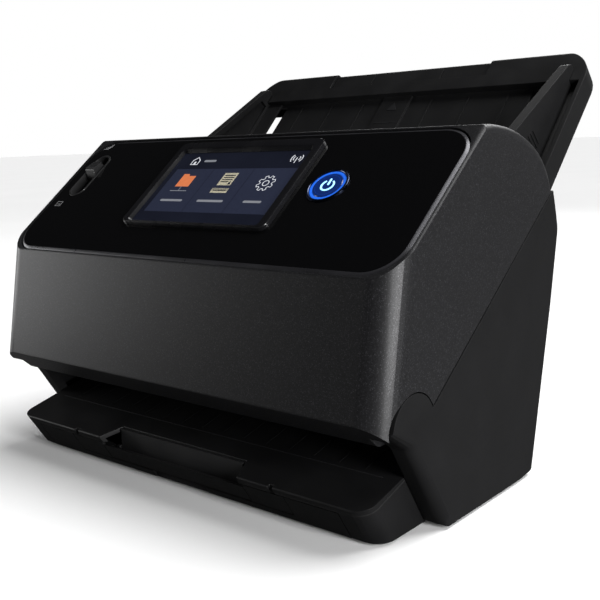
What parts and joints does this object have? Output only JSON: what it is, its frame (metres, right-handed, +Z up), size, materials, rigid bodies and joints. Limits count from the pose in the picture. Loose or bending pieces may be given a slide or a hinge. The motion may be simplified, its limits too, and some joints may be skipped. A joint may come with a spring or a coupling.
{
  "type": "sheet fed document scanner",
  "caption": "Black desktop document scanner with an opening front unit, sloping touch panel, rear feed tray with sliding guides and an extending eject tray.",
  "frame": {"origin": "middle of the whole object in plan, on the surface that the rubber feet stand on", "axes": "+X to the right of someone facing the control panel, +Y to the rear, +Z up"},
  "size_m": [0.291, 0.2535, 0.2308],
  "materials": {
    "housing": "charcoal with a fine metallic sparkle, satin",
    "matte_black": "black, fine moulded texture",
    "panel_gloss": "piano black, polished",
    "screen": "dark display window, polished",
    "light_ring": "translucent blue light guide",
    "button": "dark blue black, satin",
    "inner_black": "black, smooth",
    "sheet_steel": "zinc plated sheet",
    "steel_rod": "ground rod",
    "motor_can": "drawn can",
    "rubber": "matte",
    "pulley": "natural acetal",
    "sensor_glass": "polished",
    "board": "green solder mask on laminate",
    "socket_shell": "nickel plated shell",
    "socket_black": "black moulding",
    "pinion": "natural acetal"
  },
  "bodies": {
    "base": {"base_frame": "sheet_steel", "bottom_cover": "matte_black", "left_side_cover": "matte_black", "right_side_cover": "matte_black", "rear_cover": "matte_black", "foot_front_left": "rubber", "foot_front_right": "rubber", "foot_rear_left": "rubber", "foot_rear_right": "rubber", "main_board": "board", "dc_inlet": "socket_black", "usb_socket": "socket_shell", "lan_socket": "socket_shell", "drive_motor": "motor_can", "drive_belt": "rubber", "lower_guide": "inner_black", "feed_roller_cover": "inner_black", "lower_image_sensor": "inner_black", "lower_sensor_glass": "sensor_glass", "hinge_pin_left": "steel_rod", "hinge_pin_right": "steel_rod", "eject_tray": "matte_black", "eject_fascia": "matte_black", "feed_tray": "matte_black", "feed_tray_back": "matte_black"},
    "front_unit": {"front_cover": "housing", "control_panel": "panel_gloss", "display_bezel": "inner_black", "display_module": "screen", "power_bezel": "button", "power_light_ring": "light_ring", "lever_well": "inner_black", "upper_guide": "inner_black", "upper_image_sensor": "inner_black", "upper_sensor_glass": "sensor_glass", "retard_roller_cover": "inner_black", "hinge_bracket_left": "sheet_steel", "hinge_bracket_right": "sheet_steel"},
    "open_lever": {"open_lever": "inner_black", "latch_bar": "steel_rod"},
    "power_button": {"power_button": "button"},
    "feed_select_lever": {"feed_select_lever": "matte_black"},
    "left_guide": {"left_document_guide": "matte_black"},
    "right_guide": {"right_document_guide": "matte_black"},
    "guide_pinion": {"guide_pinion": "pinion"},
    "feed_ext_1": {"feed_extension_1": "matte_black"},
    "feed_ext_2": {"feed_extension_2": "matte_black"},
    "eject_ext_1": {"eject_extension_1": "matte_black"},
    "eject_ext_2": {"eject_extension_2": "matte_black"},
    "eject_stopper": {"eject_stopper": "inner_black"},
    "feed_roller": {"feed_roller": "rubber", "feed_pulley": "pulley"},
    "registration_roller": {"registration_roller": "rubber", "registration_pulley": "pulley"},
    "eject_roller": {"eject_roller": "rubber", "eject_pulley": "pulley"},
    "motor_rotor": {"motor_pulley": "pulley"},
    "retard_roller": {"retard_roller": "rubber"},
    "registration_pinch": {"registration_pinch_roller": "rubber"},
    "eject_pinch": {"eject_pinch_roller": "rubber"}
  },
  "joints": [
    {"name": "front_unit_open", "type": "hinge", "parent": "base", "child": "front_unit", "pos_m": [0, -0.1017, 0.0565], "axis": [1, 0, 0], "range_deg": [0, 50]},
    {"name": "open_lever_slide", "type": "slide", "parent": "front_unit", "child": "open_lever", "axis": [0, -0.803, -0.596], "range_m": [0, 0.006], "stiffness_N_per_m": 300},
    {"name": "power_button_press", "type": "slide", "parent": "front_unit", "child": "power_button", "axis": [0, 0.6272, -0.7788], "range_m": [0, 0.0008], "stiffness_N_per_m": 1500},
    {"name": "feed_select_turn", "type": "hinge", "parent": "front_unit", "child": "feed_select_lever", "pos_m": [-0.1255, -0.04797, 0.14803], "axis": [1, 0, 0], "range_deg": [0, 26]},
    {"name": "right_guide_slide", "type": "slide", "parent": "base", "child": "right_guide", "axis": [-1, 0, 0], "range_m": [0, 0.093]},
    {"name": "left_guide_slide", "type": "slide", "parent": "base", "child": "left_guide", "axis": [1, 0, 0], "range_m": [0, 0.093]},
    {"name": "pinion_spin", "type": "hinge", "parent": "base", "child": "guide_pinion", "pos_m": [0, 0.03203, 0.13704], "axis": [0, -0.7071, 0.7071], "range_deg": [-1070, 0]},
    {"name": "feed_extension_1_slide", "type": "slide", "parent": "base", "child": "feed_ext_1", "axis": [0, 0.7071, 0.7071], "range_m": [0, 0.094]},
    {"name": "feed_extension_2_slide", "type": "slide", "parent": "feed_ext_1", "child": "feed_ext_2", "axis": [0, 0.7071, 0.7071], "range_m": [0, 0.093]},
    {"name": "eject_extension_1_slide", "type": "slide", "parent": "base", "child": "eject_ext_1", "axis": [0, -1, 0], "range_m": [0, 0.107]},
    {"name": "eject_extension_2_slide", "type": "slide", "parent": "eject_ext_1", "child": "eject_ext_2", "axis": [0, -1, 0], "range_m": [0, 0.107]},
    {"name": "stopper_fold", "type": "hinge", "parent": "eject_ext_2", "child": "eject_stopper", "pos_m": [0, -0.1112, 0.0124], "axis": [1, 0, 0], "range_deg": [0, 50]},
    {"name": "feed_roller_spin", "type": "hinge", "parent": "base", "child": "feed_roller", "pos_m": [0, 0.01874, 0.10649], "axis": [1, 0, 0], "continuous": true},
    {"name": "registration_roller_spin", "type": "hinge", "parent": "base", "child": "registration_roller", "pos_m": [0, -0.0053, 0.09093], "axis": [1, 0, 0], "continuous": true},
    {"name": "eject_roller_spin", "type": "hinge", "parent": "base", "child": "eject_roller", "pos_m": [0, -0.04914, 0.04709], "axis": [1, 0, 0], "continuous": true},
    {"name": "motor_spin", "type": "hinge", "parent": "base", "child": "motor_rotor", "pos_m": [0, -0.01676, 0.03733], "axis": [1, 0, 0], "continuous": true},
    {"name": "retard_roller_spin", "type": "hinge", "parent": "front_unit", "child": "retard_roller", "pos_m": [0, 0.00142, 0.12381], "axis": [1, 0, 0], "continuous": true},
    {"name": "registration_pinch_spin", "type": "hinge", "parent": "front_unit", "child": "registration_pinch", "pos_m": [0, -0.01343, 0.09906], "axis": [1, 0, 0], "continuous": true},
    {"name": "eject_pinch_spin", "type": "hinge", "parent": "front_unit", "child": "eject_pinch", "pos_m": [0, -0.05727, 0.05522], "axis": [1, 0, 0], "continuous": true}
  ],
  "couplings": [
    {"joint": "left_guide_slide", "follows": "right_guide_slide", "ratio": 1},
    {"joint": "pinion_spin", "follows": "right_guide_slide", "rad_per_m": -200},
    {"joint": "motor_spin", "follows": "feed_roller_spin", "ratio": 2},
    {"joint": "registration_roller_spin", "follows": "feed_roller_spin", "ratio": 1.3333},
    {"joint": "eject_roller_spin", "follows": "feed_roller_spin", "ratio": 1.3333}
  ]
}
